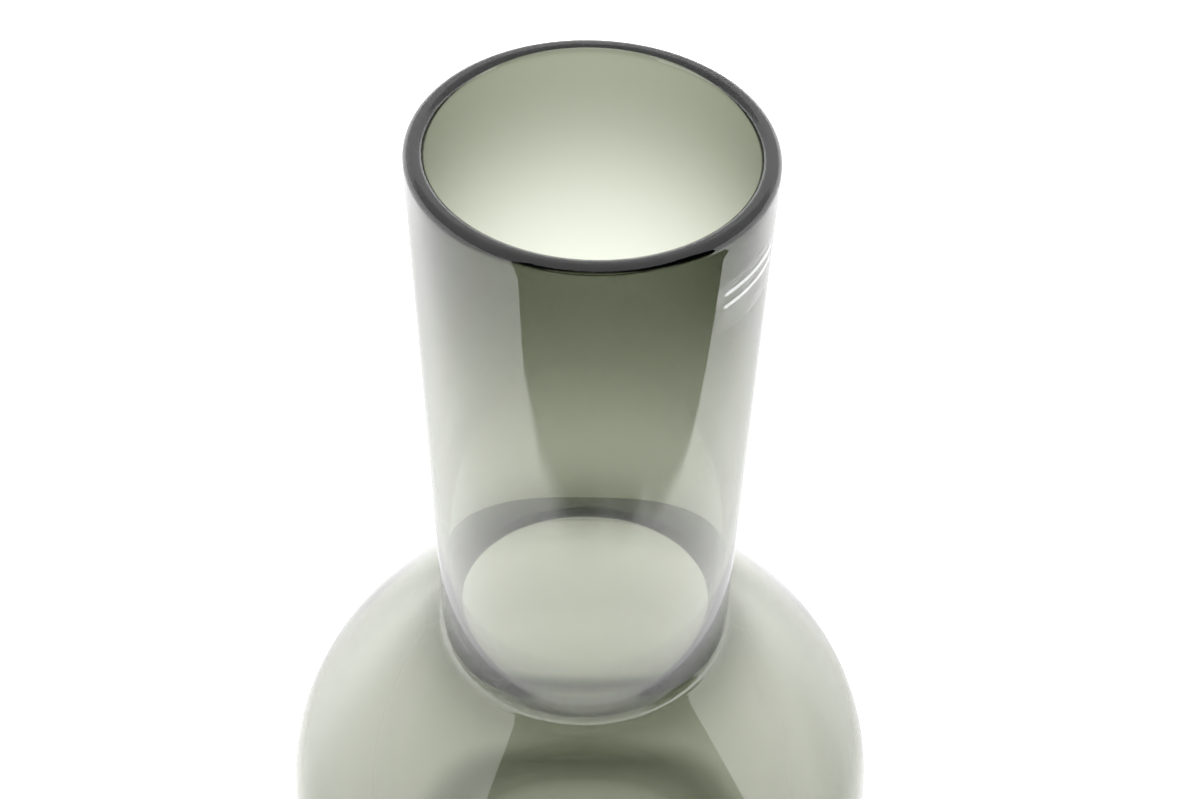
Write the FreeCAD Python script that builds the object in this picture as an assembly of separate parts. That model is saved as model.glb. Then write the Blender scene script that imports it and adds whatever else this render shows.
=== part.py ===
import FreeCAD, Part
import math
import os

# Mouth-blown glass carboy bottle, millimetres.
# Origin at the centre of the resting face, +Z up through the open neck, front of the bottle at -Y.

# --- driving dimensions ---------------------------------------------------------------------
HEIGHT = 360.0            # resting face to rim
NECK_R = 45.0             # outside of the cylindrical neck
JUNCTION_Z = 177.5        # where neck and shoulder would meet without their fillet
BODY_R = 101.0            # outside of the body at its widest
WIDEST_Z = 88.0           # level of the widest circle
TURN_R = 50.0             # arc that turns the shoulder over to the widest circle
SHOULDER_R = 450.0        # very slightly crowned, almost conical shoulder
LOWER_R = 118.0           # arc of the lower body
HEEL_RING_R = 55.0        # outer edge of the flat resting ring
RING_W = 5.0              # width of the resting ring
JUNCTION_FILLET_R = 7.0   # hollow fillet between neck and shoulder
PUNT_RISE = 7.0           # push-up under the base

RIM_WALL = 5.1            # wall at the mouth
NECK_WALL = 1.95          # wall of the lower neck, collar left out
SHOULDER_WALL = 1.9       # wall in the middle of the shoulder
BODY_WALL = 2.1           # wall at the widest circle
LOWER_WALL = 2.65         # wall half way down the lower body
HEEL_WALL = 3.4           # wall at the heel
BASE_T = 4.2              # glass over the middle of the push-up
RIM_OUT_R = 2.2           # fire-polished outer edge of the rim
RIM_IN_R = 1.9            # fire-polished inner edge of the rim
BORE_L = 6.0              # straight bore under the inner rounding
THINNING = 27.0           # how fast the neck wall thins below the straight bore
COLLAR = 2.4              # extra glass gathered where the neck meets the shoulder
COLLAR_Z = 179.0          # level of its thickest point
COLLAR_UP = 10.5          # how fast it fades up the neck
COLLAR_DOWN = 7.0         # how fast it fades down the shoulder

LOWER_Z = 50.0            # level where LOWER_WALL is measured
SHOULDER_Z = 145.0        # level where SHOULDER_WALL is measured
FLOOR_DROP = 8.6          # how far the inside floor falls from the middle, before the easing
FLOOR_REACH = 50.0        # distance from the axis over which it falls
FLOOR_EASE = 0.25         # share of the fall that the easing takes back at FLOOR_REACH
FLOOR_EDGE_R = 46.0       # outer edge of the inside floor

# Points that carry the inside curve, counted from the mouth down to the floor.
NECK_PTS, FILLET_PTS, SHOULDER_PTS, TURN_PTS, LOWER_PTS, FLOOR_PTS = 26, 3, 14, 5, 10, 6
BORE_LEAD = 5.0           # first neck point below the straight bore
FILLET_LEAD = 6.0         # last neck point above the junction fillet

LABEL_W = 44.0            # clear adhesive label, measured round the neck
LABEL_H = 16.0
LABEL_T = 0.16
LABEL_GAP = 0.02          # adhesive line between label and glass
LABEL_TOP_Z = HEIGHT - 13.5
LABEL_CORNER_R = 2.2
LABEL_START_DEG = 40.0    # left edge, measured from the front towards +X
CUT_REACH = 4.0           # how far a cutting block stands out on each side of the label


def polar(cr, cz, radius, angle):
    return cr + radius * math.cos(angle), cz + radius * math.sin(angle)


def vec(point):
    return FreeCAD.Vector(point[0], 0, point[1])


def arc(cr, cz, radius, a0, a1):
    ends = [vec(polar(cr, cz, radius, a)) for a in (a0, (a0 + a1) / 2, a1)]
    return Part.Arc(*ends).toShape()


def line(p, q):
    return Part.LineSegment(vec(p), vec(q)).toShape()


# --- outside profile: circles that touch one another ---------------------------------------
def shoulder_circle():
    """Circle tangent to the turn arc that passes through the neck junction."""
    tr = BODY_R - TURN_R
    vr, vz = NECK_R - tr, JUNCTION_Z - WIDEST_Z
    k = TURN_R - SHOULDER_R
    dist = math.hypot(vr, vz)
    swing = math.acos((dist ** 2 + k ** 2 - SHOULDER_R ** 2) / (2 * k * dist))
    start = math.atan2(vz, vr) - swing
    return tr + k * math.cos(start), WIDEST_Z + k * math.sin(start), start


def fillet_circle(sr, sz):
    """Hollow fillet tangent to the neck cylinder and to the shoulder circle."""
    fr = NECK_R + JUNCTION_FILLET_R
    fz = sz + math.sqrt((SHOULDER_R + JUNCTION_FILLET_R) ** 2 - (fr - sr) ** 2)
    return fr, fz


def heel_circle():
    """Heel tangent to the resting ring and to the lower body arc."""
    lr = BODY_R - LOWER_R
    dr = HEEL_RING_R - lr
    radius = (dr ** 2 + WIDEST_Z ** 2 - LOWER_R ** 2) / (2 * (WIDEST_Z - LOWER_R))
    return lr, radius


SH_R, SH_Z, SH_START = shoulder_circle()
FI_R, FI_Z = fillet_circle(SH_R, SH_Z)
SH_END = math.atan2(FI_Z - SH_Z, FI_R - SH_R)
LOW_CR, HEEL_R = heel_circle()
HEEL_TOUCH = math.atan2(HEEL_R - WIDEST_Z, HEEL_RING_R - LOW_CR)


# --- inside profile: the outside moved in by a wall that changes smoothly --------------------
BORE_END = HEIGHT - RIM_IN_R - BORE_L
WALL_KNOTS = [(0.0, HEEL_WALL), (LOWER_Z, LOWER_WALL), (WIDEST_Z, BODY_WALL),
              (SHOULDER_Z, SHOULDER_WALL), (JUNCTION_Z, NECK_WALL)]


def collar(z):
    fade = COLLAR_UP if z > COLLAR_Z else COLLAR_DOWN
    return COLLAR / math.cosh((z - COLLAR_Z) / fade)


def plain_wall(z):
    if z > JUNCTION_Z:
        below_bore = max(0.0, BORE_END - z)
        return NECK_WALL + (RIM_WALL - NECK_WALL) / math.cosh(below_bore / THINNING)
    for (z0, t0), (z1, t1) in zip(WALL_KNOTS, WALL_KNOTS[1:]):
        if z <= z1:
            s = max(0.0, (z - z0) / (z1 - z0))
            return t0 + (t1 - t0) * (3 * s * s - 2 * s ** 3)


def wall(z):
    return plain_wall(z) + collar(z)


def inset(cr, cz, radius, angle, side):
    """Point on a profile circle moved into the glass by the wall at that level."""
    _, z = polar(cr, cz, radius, angle)
    return polar(cr, cz, radius - side * wall(z), angle)


def steps(a, b, n):
    return [a + (b - a) * i / n for i in range(n + 1)]


def floor_point(r):
    """Point on the inside floor, highest on the axis and easing towards the heel."""
    out = (r / FLOOR_REACH) ** 2
    return r, PUNT_RISE + BASE_T - FLOOR_DROP * out * (1.0 - FLOOR_EASE * out)


def inner_points():
    neck = steps(BORE_END - BORE_LEAD, FI_Z + FILLET_LEAD, NECK_PTS)
    fillet = steps(math.pi, SH_END + math.pi, FILLET_PTS)
    shoulder = steps(SH_END, SH_START, SHOULDER_PTS)[1:]
    turn = steps(SH_START, 0, TURN_PTS)[1:]
    lower = steps(0, HEEL_TOUCH, LOWER_PTS)[1:]
    pts = [(NECK_R - RIM_WALL, BORE_END)]
    pts += [(NECK_R - wall(z), z) for z in neck]
    pts += [inset(FI_R, FI_Z, JUNCTION_FILLET_R, a, -1) for a in fillet]
    pts += [inset(SH_R, SH_Z, SHOULDER_R, a, 1) for a in shoulder]
    pts += [inset(BODY_R - TURN_R, WIDEST_Z, TURN_R, a, 1) for a in turn]
    pts += [inset(LOW_CR, WIDEST_Z, LOWER_R, a, 1) for a in lower]
    pts += [floor_point(r) for r in steps(FLOOR_EDGE_R, 0.0, FLOOR_PTS)]
    return pts


def punt(ring_in):
    """Shallow push-up: one circle, level on the axis, down to the inside of the resting ring."""
    radius = (ring_in ** 2 + PUNT_RISE ** 2) / (2 * PUNT_RISE)
    return arc(0.0, PUNT_RISE - radius, radius, math.pi / 2, math.acos(ring_in / radius))


def vessel():
    ring_in = HEEL_RING_R - RING_W
    rim_in = NECK_R - RIM_WALL
    inner = inner_points()
    spline = Part.BSplineCurve()
    down, across = FreeCAD.Vector(0, 0, -1), FreeCAD.Vector(-1, 0, 0)
    spline.interpolate(Points=[vec(p) for p in inner], InitialTangent=down, FinalTangent=across)
    edges = [
        punt(ring_in),
        line((ring_in, 0), (HEEL_RING_R, 0)),
        arc(HEEL_RING_R, HEEL_R, HEEL_R, -math.pi / 2, HEEL_TOUCH),
        arc(LOW_CR, WIDEST_Z, LOWER_R, HEEL_TOUCH, 0),
        arc(BODY_R - TURN_R, WIDEST_Z, TURN_R, 0, SH_START),
        arc(SH_R, SH_Z, SHOULDER_R, SH_START, SH_END),
        arc(FI_R, FI_Z, JUNCTION_FILLET_R, SH_END + math.pi, math.pi),
        line((NECK_R, FI_Z), (NECK_R, HEIGHT - RIM_OUT_R)),
        arc(NECK_R - RIM_OUT_R, HEIGHT - RIM_OUT_R, RIM_OUT_R, 0, math.pi / 2),
        line((NECK_R - RIM_OUT_R, HEIGHT), (rim_in + RIM_IN_R, HEIGHT)),
        arc(rim_in + RIM_IN_R, HEIGHT - RIM_IN_R, RIM_IN_R, math.pi / 2, math.pi),
        line((rim_in, HEIGHT - RIM_IN_R), inner[0]),
        spline.toShape(),
        line(inner[-1], (0, PUNT_RISE)),
    ]
    face = Part.Face(Part.Wire(edges))
    return face.revolve(FreeCAD.Vector(0, 0, 0), FreeCAD.Vector(0, 0, 1), 360)


# --- clear adhesive label wrapped on the neck ------------------------------------------------
def label():
    inner_r = NECK_R + LABEL_GAP
    z0 = LABEL_TOP_Z - LABEL_H
    sweep = math.degrees(LABEL_W / inner_r)
    shell = Part.makeCylinder(inner_r + LABEL_T, LABEL_H, FreeCAD.Vector(0, 0, z0),
                              FreeCAD.Vector(0, 0, 1), sweep)
    core = Part.makeCylinder(inner_r, LABEL_H + 2 * CUT_REACH, FreeCAD.Vector(0, 0, z0 - CUT_REACH))
    shell = shell.cut(core)
    for at_end in (False, True):
        for at_top in (False, True):
            shell = shell.cut(corner_cutter(inner_r, sweep, z0, at_end, at_top))
    shell.rotate(FreeCAD.Vector(0, 0, 0), FreeCAD.Vector(0, 0, 1), LABEL_START_DEG - 90)
    return shell


def corner_cutter(inner_r, sweep, z0, at_end, at_top):
    """Square block minus a radial peg: what rounding takes off one corner of the label."""
    r = LABEL_CORNER_R
    start, length = inner_r - CUT_REACH, 2 * CUT_REACH
    block = Part.makeBox(length, 2 * r, 2 * r, FreeCAD.Vector(start, -r, -r))
    peg = Part.makeCylinder(r, length, FreeCAD.Vector(start, r, r), FreeCAD.Vector(1, 0, 0))
    piece = block.cut(peg)
    if at_end:
        piece = piece.mirror(FreeCAD.Vector(0, 0, 0), FreeCAD.Vector(0, 1, 0))
        piece.rotate(FreeCAD.Vector(0, 0, 0), FreeCAD.Vector(0, 0, 1), sweep)
    if at_top:
        piece = piece.mirror(FreeCAD.Vector(0, 0, 0), FreeCAD.Vector(0, 0, 1))
        piece.translate(FreeCAD.Vector(0, 0, z0 + LABEL_H))
    else:
        piece.translate(FreeCAD.Vector(0, 0, z0))
    return piece


os.makedirs("parts", exist_ok=True)
vessel().exportStep("parts/glass_vessel.step")
label().exportStep("parts/label_film.step")
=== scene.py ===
import math

import bmesh
import bpy
from mathutils import Matrix, Vector, noise

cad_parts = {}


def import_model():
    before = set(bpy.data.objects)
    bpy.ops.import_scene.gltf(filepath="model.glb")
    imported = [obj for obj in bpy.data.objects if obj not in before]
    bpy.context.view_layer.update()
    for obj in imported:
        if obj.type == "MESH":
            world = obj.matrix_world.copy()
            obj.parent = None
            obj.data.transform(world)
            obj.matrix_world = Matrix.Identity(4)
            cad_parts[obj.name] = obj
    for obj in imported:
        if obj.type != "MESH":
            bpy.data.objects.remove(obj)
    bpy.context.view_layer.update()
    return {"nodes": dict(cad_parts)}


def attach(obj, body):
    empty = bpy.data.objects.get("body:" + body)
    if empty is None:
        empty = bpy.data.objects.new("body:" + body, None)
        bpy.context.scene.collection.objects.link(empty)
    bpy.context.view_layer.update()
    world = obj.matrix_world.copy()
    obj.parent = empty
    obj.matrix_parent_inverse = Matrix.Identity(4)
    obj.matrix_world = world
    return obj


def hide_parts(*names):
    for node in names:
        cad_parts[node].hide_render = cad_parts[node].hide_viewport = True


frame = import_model()

MM = 0.001
NECK_R = 45.0
HEIGHT = 360.0
RIM_WALL = 5.1
SEGMENTS = 288

# --------------------------------------------------------------------------------------------
# glass profile: the CAD part's circles and walls, millimetres (r, z); only the push-up differs
# --------------------------------------------------------------------------------------------
JUNCTION_Z, BODY_R, WIDEST_Z = 177.5, 101.0, 88.0
TURN_R, SHOULDER_R, LOWER_R = 50.0, 450.0, 118.0
LOWER_Z, SHOULDER_Z = 50.0, 145.0      # levels where those walls are measured
THINNING = 27.0                        # how fast the neck wall thins below the bore
RING_R, RING_W, FILLET_R, PUNT = 55.0, 5.0, 7.0, 7.0
BASE_T, FLOOR_DROP, FLOOR_REACH, FLOOR_EASE, FLOOR_EDGE_R = 4.2, 8.6, 50.0, 0.25, 46.0
RIM_OUT, RIM_IN, BORE_L = 2.2, 1.9, 6.0
NECK_WALL = 1.95
WALL_KNOTS = ((0.0, 3.4), (LOWER_Z, 2.65), (WIDEST_Z, 2.1), (SHOULDER_Z, 1.9), (JUNCTION_Z, NECK_WALL))
COLLAR, COLLAR_Z, COLLAR_UP, COLLAR_DOWN = 2.4, 179.0, 10.5, 7.0


def collar(z):
    """Extra glass gathered where the neck meets the shoulder."""
    reach = COLLAR_UP if z > COLLAR_Z else COLLAR_DOWN
    return COLLAR / math.cosh((z - COLLAR_Z) / reach)


def wall(z):
    return plain_wall(z) + collar(z)


def plain_wall(z):
    if z > JUNCTION_Z:
        depth = max(0.0, HEIGHT - RIM_IN - BORE_L - z)
        return NECK_WALL + (RIM_WALL - NECK_WALL) / math.cosh(depth / THINNING)
    for (z0, t0), (z1, t1) in zip(WALL_KNOTS, WALL_KNOTS[1:]):
        if z <= z1:
            s = max(0.0, (z - z0) / (z1 - z0))
            return t0 + (t1 - t0) * s * s * (3 - 2 * s)


def on_circle(c, radius, a):
    return c[0] + radius * math.cos(a), c[1] + radius * math.sin(a)


def span(a, b, n):
    return [a + (b - a) * i / n for i in range(n + 1)]


def circles():
    """Centres and limits of the shoulder, fillet and heel arcs, each tangent to its neighbours."""
    tr = BODY_R - TURN_R
    vr, vz = NECK_R - tr, JUNCTION_Z - WIDEST_Z
    k, dist = TURN_R - SHOULDER_R, math.hypot(vr, vz)
    start = math.atan2(vz, vr) - math.acos((dist ** 2 + k ** 2 - SHOULDER_R ** 2) / (2 * k * dist))
    shoulder = (tr + k * math.cos(start), WIDEST_Z + k * math.sin(start))
    fr = NECK_R + FILLET_R
    fillet = (fr, shoulder[1] + math.sqrt((SHOULDER_R + FILLET_R) ** 2 - (fr - shoulder[0]) ** 2))
    end = math.atan2(fillet[1] - shoulder[1], fillet[0] - shoulder[0])
    low = (BODY_R - LOWER_R, WIDEST_Z)
    dr = RING_R - low[0]
    heel_r = (dr ** 2 + WIDEST_Z ** 2 - LOWER_R ** 2) / (2 * (WIDEST_Z - LOWER_R))
    touch = math.atan2(heel_r - WIDEST_Z, dr)
    return shoulder, start, end, fillet, low, heel_r, touch


def outer_profile():
    """From the middle of the push-up, out and up to the rounding of the rim."""
    shoulder, start, end, fillet, low, heel_r, touch = circles()
    ring_in = RING_R - RING_W
    pts = [punt_point(r, ring_in) for r in span(0, ring_in, 16)]
    pts += [(r, 0.0) for r in span(ring_in, RING_R, 4)[1:]]
    pts += [on_circle((RING_R, heel_r), heel_r, a) for a in span(-math.pi / 2, touch, 12)[1:]]
    pts += [on_circle(low, LOWER_R, a) for a in span(touch, 0, 36)[1:]]
    pts += [on_circle((BODY_R - TURN_R, WIDEST_Z), TURN_R, a) for a in span(0, start, 16)[1:]]
    pts += [on_circle(shoulder, SHOULDER_R, a) for a in span(start, end, 26)[1:]]
    pts += [on_circle(fillet, FILLET_R, a) for a in span(end + math.pi, math.pi, 12)[1:]]
    pts += [(NECK_R, z) for z in span(fillet[1], HEIGHT - RIM_OUT, 60)[1:]]
    pts += [on_circle((NECK_R - RIM_OUT, HEIGHT - RIM_OUT), RIM_OUT, a) for a in span(0, math.pi / 2, 8)[1:]]
    return pts


def punt_point(r, ring_in):
    """Point under the shallow push-up, up to 0.4 mm above the CAD's circle."""
    out = (r / ring_in) ** 2
    return r, PUNT * (1 - out * (0.8 + 0.2 * out))


def inner_profile():
    """From the rounding inside the mouth, down to the middle of the floor."""
    shoulder, start, end, fillet, low, _, touch = circles()
    bore = NECK_R - RIM_WALL
    centre = (bore + RIM_IN, HEIGHT - RIM_IN)
    pts = [on_circle(centre, RIM_IN, a) for a in span(math.pi / 2, math.pi, 8)]
    pts += [(NECK_R - wall(z), z) for z in span(HEIGHT - RIM_IN, fillet[1] + 0.3, 170)[1:]]

    def inset(c, radius, a, side):
        return on_circle(c, radius - side * wall(on_circle(c, radius, a)[1]), a)

    pts += [inset(fillet, FILLET_R, a, -1) for a in span(math.pi, end + math.pi, 22)]
    pts += [inset(shoulder, SHOULDER_R, a, 1) for a in span(end, start, 44)[1:]]
    pts += [inset((BODY_R - TURN_R, WIDEST_Z), TURN_R, a, 1) for a in span(start, 0, 16)[1:]]
    pts += [inset(low, LOWER_R, a, 1) for a in span(0, touch, 36)[1:-4]]
    r1, z1 = pts[-1]
    pts += bend((r1, z1), (-0.72, -0.69), floor_point(FLOOR_EDGE_R), (-0.99, 0.12), 10)
    pts += [floor_point(r) for r in span(FLOOR_EDGE_R, 0, 16)[1:]]
    return pts


def floor_point(r):
    """Point on the inside floor, highest on the axis and easing towards the heel."""
    out = (r / FLOOR_REACH) ** 2
    return r, PUNT + BASE_T - FLOOR_DROP * out * (1 - FLOOR_EASE * out)


def bend(p, tp, q, tq, n):
    """Hermite bend between two points with the given directions, first point left out."""
    reach = math.hypot(q[0] - p[0], q[1] - p[1])
    out = []
    for s in span(0, 1, n)[1:]:
        h = (2 * s ** 3 - 3 * s ** 2 + 1, s ** 3 - 2 * s ** 2 + s, 3 * s ** 2 - 2 * s ** 3, s ** 3 - s ** 2)
        out.append(tuple(h[0] * p[i] + h[1] * reach * tp[i] + h[2] * q[i] + h[3] * reach * tq[i]
                         for i in (0, 1)))
    return out


SLOW_WAVE, QUICK_WAVE = 62.0, 21.0      # sizes of the hand-blown unevenness, mm
NECK_SHARE, NECK_FADE = 0.25, 60.0      # share of it left on the neck, and the height it falls over


def sag(r, z, a, inner):
    """Hand-blown unevenness in mm, always into the glass outside and either way inside."""
    p = Vector((r * math.cos(a), r * math.sin(a), z))
    body = 1.0 if z < JUNCTION_Z else max(NECK_SHARE, 1 - (z - JUNCTION_Z) / NECK_FADE)
    slow = noise.noise(p / SLOW_WAVE + Vector((3.1, 0.4, 7.7)))
    quick = noise.noise(p / QUICK_WAVE + Vector((11.0, 5.2, 1.3)))
    if inner:
        return body * (0.10 * slow + 0.015 * quick)
    return -body * (0.09 * (0.5 + 0.5 * slow) + 0.008 * (0.5 + 0.5 * quick))


def lathe(name, profile, wobble=None):
    """Turns a closed profile that starts and ends on the axis into one closed mesh."""
    mesh = bpy.data.meshes.new(name)
    bm = bmesh.new()
    rows = []
    for index, (r, z) in enumerate(profile):
        if r < 1e-6:
            rows.append([bm.verts.new((0, 0, z * MM))])
            continue
        row = []
        for k in range(SEGMENTS):
            a = 2 * math.pi * k / SEGMENTS
            d = wobble(index, r, z, a) if wobble else 0.0
            row.append(bm.verts.new(((r + d) * MM * math.cos(a), (r + d) * MM * math.sin(a), z * MM)))
        rows.append(row)
    for a, b in zip(rows, rows[1:]):
        for k in range(SEGMENTS):
            n = (k + 1) % SEGMENTS
            if len(a) == 1:
                bm.faces.new((a[0], b[k], b[n]))
            elif len(b) == 1:
                bm.faces.new((a[k], b[0], a[n]))
            else:
                bm.faces.new((a[k], b[k], b[n], a[n]))
    bmesh.ops.recalc_face_normals(bm, faces=bm.faces)
    bm.to_mesh(mesh)
    bm.free()
    for f in mesh.polygons:
        f.use_smooth = True
    obj = bpy.data.objects.new(name, mesh)
    bpy.context.scene.collection.objects.link(obj)
    return obj


BASE_LEVEL = 30.0         # below this the base stays true near the axis, so that it rests flat
BASE_TRUE_R, BASE_FADE = 58.0, 20.0
RIM_TRUE, RIM_FADE = 4.0, 30.0    # depth under the rim that stays true, and its fade


def blown_vessel():
    outer, inner = outer_profile(), inner_profile()
    split = len(outer)

    def wobble(index, r, z, a):
        inside = index >= split
        if z < BASE_LEVEL:
            fade = (r - BASE_TRUE_R) / BASE_FADE
        else:
            fade = (HEIGHT - z - RIM_TRUE) / RIM_FADE
        return min(1.0, max(0.0, fade)) * sag(r, z, a, inside)

    return lathe("blown_glass_vessel", outer + inner, wobble)


def printed_stripes():
    """Two plain stripes printed across the label film, thin curved pads with rounded ends."""
    inner, ink = NECK_R + 0.19, 0.02
    length, width, middle = 22.0, 1.3, math.radians(57.0)
    mesh = bpy.data.meshes.new("label_print")
    bm = bmesh.new()
    for level in (HEIGHT - 17.0, HEIGHT - 21.0):
        rows = []
        for s in span(-math.pi / 2, math.pi / 2, 56):
            across = length / 2 * math.sin(s)
            past = max(0.0, abs(across) - (length - width) / 2) / (width / 2)
            half = width / 2 * math.sqrt(max(0.01, 1 - past ** 2))
            a = middle + across / inner
            corners = ((inner, -half), (inner, half), (inner + ink, half), (inner + ink, -half))
            rows.append([bm.verts.new((r * MM * math.sin(a), -r * MM * math.cos(a), (level + up) * MM))
                         for r, up in corners])
        for p, q in zip(rows, rows[1:]):
            for i in range(4):
                n = (i + 1) % 4
                bm.faces.new((p[i], p[n], q[n], q[i]))
        bm.faces.new(rows[0])
        bm.faces.new(rows[-1])
    bmesh.ops.recalc_face_normals(bm, faces=bm.faces)
    bm.to_mesh(mesh)
    bm.free()
    obj = bpy.data.objects.new("label_print", mesh)
    bpy.context.scene.collection.objects.link(obj)
    return obj


# --------------------------------------------------------------------------------------------
# materials
# --------------------------------------------------------------------------------------------
def new_material(name):
    """A material with an empty node tree, its Principled shader already on the surface."""
    m = bpy.data.materials.new(name)
    m.use_nodes = True
    nt = m.node_tree
    nt.nodes.clear()
    out = nt.nodes.new("ShaderNodeOutputMaterial")
    bsdf = nt.nodes.new("ShaderNodeBsdfPrincipled")
    nt.links.new(bsdf.outputs[0], out.inputs["Surface"])
    return m, nt, bsdf, out


def add(nt, kind, **values):
    node = nt.nodes.new(kind)
    for key, value in values.items():
        if key.startswith("in_"):
            node.inputs[key[3:].replace("_", " ")].default_value = value
        else:
            setattr(node, key, value)
    return node


def glass_material():
    """Grey-green smoked glass: the tint is absorption, so thick glass is darker."""
    m, nt, bsdf, out = new_material("smoked_glass_blown")
    bsdf.inputs["Base Color"].default_value = (1, 1, 1, 1)
    bsdf.inputs["IOR"].default_value = 1.5
    bsdf.inputs["Transmission Weight"].default_value = 1.0
    soak = add(nt, "ShaderNodeVolumeAbsorption")
    soak.inputs["Color"].default_value = (0.28, 0.302, 0.205, 1)
    soak.inputs["Density"].default_value = 500.0
    nt.links.new(soak.outputs[0], out.inputs["Volume"])
    place = add(nt, "ShaderNodeTexCoord")
    ripple = add(nt, "ShaderNodeTexNoise", in_Scale=26.0, in_Detail=1.0, in_Roughness=0.4)
    nt.links.new(place.outputs["Object"], ripple.inputs["Vector"])
    bump = add(nt, "ShaderNodeBump", in_Strength=0.12, in_Distance=0.0006)
    nt.links.new(ripple.outputs["Fac"], bump.inputs["Height"])
    nt.links.new(bump.outputs[0], bsdf.inputs["Normal"])
    nt.links.new(scuffs(nt, place), bsdf.inputs["Roughness"])
    return m


def scuffs(nt, place):
    """Roughness: polished glass, with the fine scratches that the resting ring picks up."""
    split = add(nt, "ShaderNodeSeparateXYZ")
    nt.links.new(place.outputs["Object"], split.inputs[0])
    low = add(nt, "ShaderNodeMapRange", interpolation_type="SMOOTHSTEP")
    low.inputs["From Min"].default_value = 0.0001
    low.inputs["From Max"].default_value = 0.0012
    low.inputs["To Min"].default_value = 0.22
    low.inputs["To Max"].default_value = 0.0
    nt.links.new(split.outputs["Z"], low.inputs["Value"])
    grit = add(nt, "ShaderNodeTexNoise", in_Scale=900.0, in_Detail=3.0)
    nt.links.new(place.outputs["Object"], grit.inputs["Vector"])
    worn = add(nt, "ShaderNodeMath", operation="MULTIPLY")
    nt.links.new(low.outputs[0], worn.inputs[0])
    nt.links.new(grit.outputs["Fac"], worn.inputs[1])
    return worn.outputs[0]


SKY, FLOOR_GLOW = 2.85, 2.3     # strength of the studio's light all round, and from the table


def floor_material():
    """Pale table that gives off its own light, so that the glass over it isn't shaded."""
    m, nt, bsdf, _ = new_material("white_sweep")
    tex = add(nt, "ShaderNodeTexNoise")
    tex.inputs["Scale"].default_value = 3.0
    ramp = add(nt, "ShaderNodeValToRGB")
    ramp.color_ramp.elements[0].color = (0.15, 0.15, 0.15, 1)
    ramp.color_ramp.elements[1].color = (0.18, 0.18, 0.18, 1)
    nt.links.new(tex.outputs["Fac"], ramp.inputs[0])
    nt.links.new(ramp.outputs[0], bsdf.inputs["Base Color"])
    bsdf.inputs["Roughness"].default_value = 0.9
    bsdf.inputs["Specular IOR Level"].default_value = 0.0
    bsdf.inputs["Emission Color"].default_value = (1, 1, 1, 1)
    bsdf.inputs["Emission Strength"].default_value = FLOOR_GLOW
    return m


CARD_WHITE = 0.965        # tone the floor card and the dark side share, so that no edge shows


def card_material(name, tone):
    """Plain matt card that shows only in reflections."""
    m, nt, bsdf, _ = new_material(name)
    bsdf.inputs["Base Color"].default_value = (tone, tone, tone, 1)
    bsdf.inputs["Roughness"].default_value = 1.0
    bsdf.inputs["Specular IOR Level"].default_value = 0.0
    return m


def painted_shade_card_material():
    """White card with painted shade: a grey pool behind the bottle and a fainter one to its right."""
    m, nt, bsdf, _ = new_material("painted_shade_card")
    place = add(nt, "ShaderNodeTexCoord")
    tone = CARD_WHITE
    # painted shade pools: centre, inner radius, outer radius, and how far the white tone drops
    shade_pools = (((0.0, 0.32, 0.0), 0.18, 0.42, 0.44), ((0.42, 0.1, 0.0), 0.05, 0.34, 0.22))
    for centre, near, far, depth in shade_pools:
        gap = add(nt, "ShaderNodeVectorMath", operation="DISTANCE")
        gap.inputs[1].default_value = centre
        nt.links.new(place.outputs["Object"], gap.inputs[0])
        shade_pool = add(nt, "ShaderNodeMapRange", interpolation_type="SMOOTHSTEP")
        shade_pool.inputs["From Min"].default_value = near
        shade_pool.inputs["From Max"].default_value = far
        shade_pool.inputs["To Min"].default_value = depth
        shade_pool.inputs["To Max"].default_value = 0.0
        nt.links.new(gap.outputs["Value"], shade_pool.inputs["Value"])
        less = add(nt, "ShaderNodeMath", operation="SUBTRACT", use_clamp=True)
        if isinstance(tone, float):
            less.inputs[0].default_value = tone
        else:
            nt.links.new(tone, less.inputs[0])
        nt.links.new(shade_pool.outputs[0], less.inputs[1])
        tone = less.outputs[0]
    nt.links.new(tone, bsdf.inputs["Base Color"])
    bsdf.inputs["Roughness"].default_value = 1.0
    bsdf.inputs["Specular IOR Level"].default_value = 0.0
    return m


def feathered_material():
    """Black, with the mesh attribute "shade" fading it to white along the near edge."""
    m, nt, bsdf, _ = new_material("feathered_card")
    shade = add(nt, "ShaderNodeAttribute", attribute_name="shade")
    reach = add(nt, "ShaderNodeMapRange", interpolation_type="SMOOTHSTEP")
    reach.inputs["To Min"].default_value = CARD_WHITE
    reach.inputs["To Max"].default_value = 0.01
    nt.links.new(shade.outputs["Fac"], reach.inputs["Value"])
    nt.links.new(reach.outputs[0], bsdf.inputs["Base Color"])
    bsdf.inputs["Roughness"].default_value = 1.0
    bsdf.inputs["Specular IOR Level"].default_value = 0.0
    return m


def film_material():
    """Clear adhesive film: almost invisible, a little cloudy where the adhesive has not wetted."""
    m, nt, bsdf, _ = new_material("clear_label_film")
    bsdf.inputs["Base Color"].default_value = (0.78, 0.8, 0.79, 1)
    bsdf.inputs["Roughness"].default_value = 0.22
    place = add(nt, "ShaderNodeTexCoord")
    cloud = add(nt, "ShaderNodeTexNoise", in_Scale=160.0, in_Detail=3.0)
    nt.links.new(place.outputs["Object"], cloud.inputs["Vector"])
    veil = add(nt, "ShaderNodeMapRange")
    veil.inputs["From Min"].default_value = 0.35
    veil.inputs["From Max"].default_value = 0.75
    veil.inputs["To Min"].default_value = 0.006
    veil.inputs["To Max"].default_value = 0.035
    nt.links.new(cloud.outputs["Fac"], veil.inputs["Value"])
    nt.links.new(veil.outputs[0], bsdf.inputs["Alpha"])
    bump = add(nt, "ShaderNodeBump", in_Strength=0.2, in_Distance=0.00005)
    nt.links.new(cloud.outputs["Fac"], bump.inputs["Height"])
    nt.links.new(bump.outputs[0], bsdf.inputs["Normal"])
    return m


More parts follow.
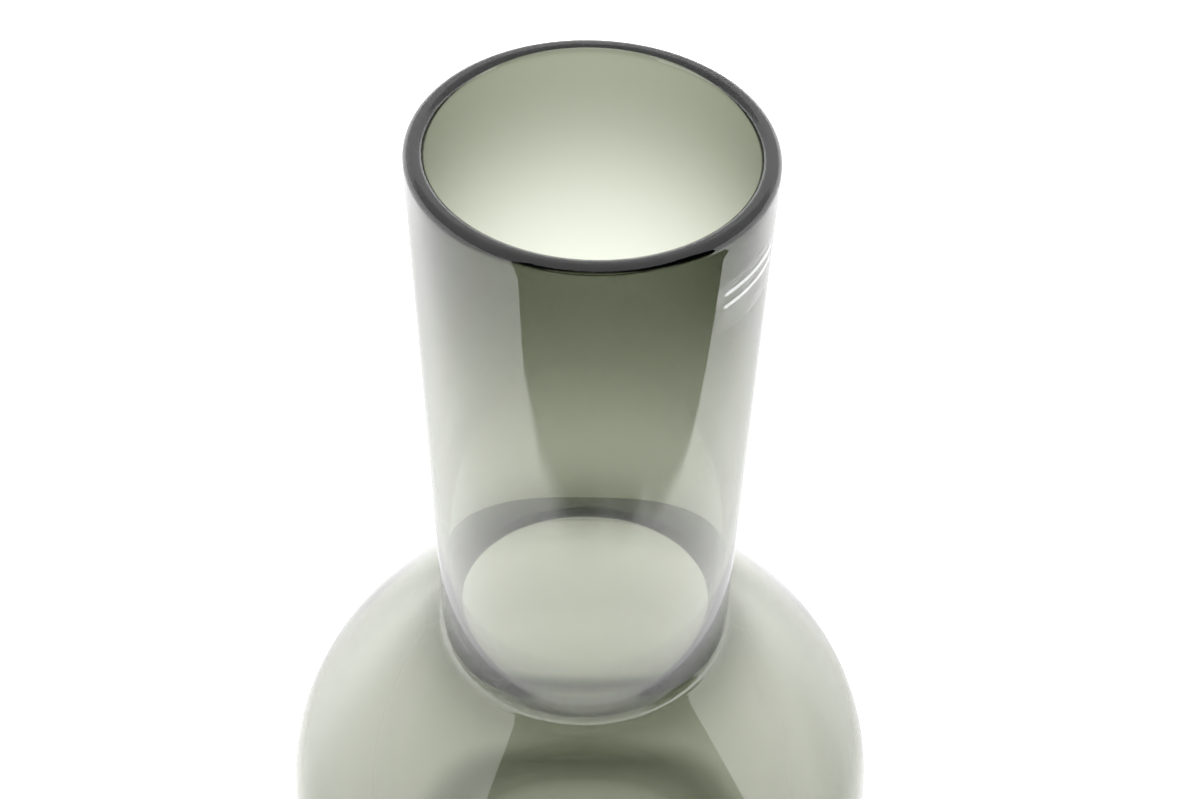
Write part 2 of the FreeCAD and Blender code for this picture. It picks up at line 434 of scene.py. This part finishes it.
def ink_material():
    """White screen print, slightly uneven in cover."""
    m, nt, bsdf, _ = new_material("white_print")
    place = add(nt, "ShaderNodeTexCoord")
    speck = add(nt, "ShaderNodeTexNoise", in_Scale=1400.0, in_Detail=2.0)
    nt.links.new(place.outputs["Object"], speck.inputs["Vector"])
    ramp = add(nt, "ShaderNodeValToRGB")
    ramp.color_ramp.elements[0].color = (0.70, 0.72, 0.72, 1)
    ramp.color_ramp.elements[1].color = (0.86, 0.87, 0.87, 1)
    nt.links.new(speck.outputs["Fac"], ramp.inputs[0])
    nt.links.new(ramp.outputs[0], bsdf.inputs["Base Color"])
    cover = add(nt, "ShaderNodeMapRange")
    cover.inputs["To Min"].default_value = 0.09
    cover.inputs["To Max"].default_value = 0.22
    nt.links.new(speck.outputs["Fac"], cover.inputs["Value"])
    nt.links.new(cover.outputs[0], bsdf.inputs["Alpha"])
    bsdf.inputs["Roughness"].default_value = 0.5
    return m


# --------------------------------------------------------------------------------------------
# stage
# --------------------------------------------------------------------------------------------
def quad(name, centre, size_x, size_y, rot, material, rays=None):
    mesh = bpy.data.meshes.new(name)
    x, y = size_x / 2, size_y / 2
    mesh.from_pydata([(-x, -y, 0), (x, -y, 0), (x, y, 0), (-x, y, 0)], [], [(0, 1, 2, 3)])
    obj = bpy.data.objects.new(name, mesh)
    bpy.context.scene.collection.objects.link(obj)
    obj.matrix_world = Matrix.Translation(centre) @ rot
    mesh.materials.append(material)
    if rays is not None:
        only(obj, rays)
    return obj


def dark_side(material):
    """The unlit side of the studio behind the camera, past the near edge of the white table.

    The near edge is a row of points in neck diameters with the width of its soft border.
    """
    unit = 2 * NECK_R * MM
    edge = ((-5.3, -5.2, 0.1), (-3.4, -3.55, 0.1), (-2.6, -3.0, 0.2), (-1.6, -2.75, 0.4), (-0.6, -2.6, 0.6),
            (0.6, -2.6, 0.7), (1.7, -2.3, 0.5), (2.5, -1.65, 0.3), (3.1, -1.2, 0.2), (3.8, -0.85, 0.15),
            (5.2, -0.35, 0.1))
    far, top = 7.5, 13.0
    first, sweep = -42, 109       # azimuths it spans, degrees from -Y towards +X
    rows = [[(x, y, 0.0, 0.0) for x, y, _ in edge], [], [], []]
    for k, (x, y, width) in enumerate(edge):
        a = math.atan2(x, -y)
        rows[1].append((x + width * math.sin(a), y - width * math.cos(a), 0.0, 1.0))
        a = math.radians(first + sweep * k / (len(edge) - 1))
        rows[2].append((far * math.sin(a), -far * math.cos(a), 0.0, 1.0))
        rows[3].append((far * math.sin(a), -far * math.cos(a), top, 1.0))
    count = len(edge)
    points = [p for row in rows for p in row]
    faces = [(r * count + k, r * count + k + 1, (r + 1) * count + k + 1, (r + 1) * count + k)
             for r in range(3) for k in range(count - 1)]
    mesh = bpy.data.meshes.new("dark_side")
    mesh.from_pydata([(x * unit, y * unit, z * unit + 0.0006) for x, y, z, _ in points], [], faces)
    shade = mesh.attributes.new("shade", "FLOAT", "POINT")
    for value, point in zip(shade.data, points):
        value.value = point[3]
    mesh.materials.append(material)
    obj = bpy.data.objects.new("dark_side", mesh)
    bpy.context.scene.collection.objects.link(obj)
    only(obj, ("glossy",))


def only(obj, rays):
    for kind in ("camera", "diffuse", "glossy", "transmission", "volume_scatter", "shadow"):
        setattr(obj, "visible_" + kind, kind in rays)


def world(strength):
    w = bpy.data.worlds.new("studio")
    bpy.context.scene.world = w
    w.use_nodes = True
    bg = w.node_tree.nodes["Background"]
    bg.inputs["Color"].default_value = (1, 1, 1, 1)
    bg.inputs["Strength"].default_value = strength


SENSOR, LENS = 36.0, 48.114       # mm
SHIFT = -1 / 12                   # of the frame's width: the lens axis falls right of its middle


def camera():
    """Pinhole camera set from the neck: distances in neck diameters, angles in radians."""
    d, h, psi = 3.3955, 2.5947, 0.09939
    pitch, roll = math.radians(46.19), math.radians(5.13)
    unit = 2 * NECK_R * MM
    forward = Vector((math.sin(psi) * math.cos(pitch), math.cos(psi) * math.cos(pitch), -math.sin(pitch)))
    level = Vector((math.cos(psi), -math.sin(psi), 0))
    up = level.cross(forward)
    right = math.cos(roll) * level + math.sin(roll) * up
    top = -math.sin(roll) * level + math.cos(roll) * up
    cam = bpy.data.cameras.new("main_camera")
    cam.sensor_width, cam.lens = SENSOR, LENS
    cam.shift_x = SHIFT
    cam.clip_start = 0.01
    obj = bpy.data.objects.new("main_camera", cam)
    bpy.context.scene.collection.objects.link(obj)
    obj.matrix_world = Matrix.Translation((0, -d * unit, HEIGHT * MM + h * unit)) @ Matrix(
        (right, top, -forward)).transposed().to_4x4()
    bpy.context.scene.camera = obj


vessel = blown_vessel()
vessel.data.materials.append(glass_material())
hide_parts("glass_vessel")
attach(vessel, "root")

label = frame["nodes"]["label_film"]
label.data.materials.clear()
label.data.materials.append(film_material())
stripes = printed_stripes()
stripes.data.materials.append(ink_material())
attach(stripes, "root")

white = floor_material()
grey, pale = card_material("grey_card", 0.5), card_material("pale_card", 0.72)
quad("studio_floor", (0, 0, -0.0002), 8, 8, Matrix.Identity(4), white)
dark_side(feathered_material())
# glossy-only card whose painted shade pools darken the floor's reflection behind the bottle
quad("dim_sweep", (0, 0.0, 0.0004), 2.4, 1.9, Matrix.Identity(4), painted_shade_card_material(), rays=("glossy",))
quad("ceiling_card", (0, -0.4, 1.5), 6, 3.2, Matrix.Identity(4), grey, rays=("glossy",))
quad("soffit_card", (0, 2.0, 1.5), 6, 1.6, Matrix.Identity(4), pale, rays=("glossy",))
world(SKY)
camera()

scene = bpy.context.scene
scene.view_settings.view_transform = "Standard"
scene.cycles.max_bounces = 24
scene.cycles.transmission_bounces = 20
scene.cycles.glossy_bounces = 12
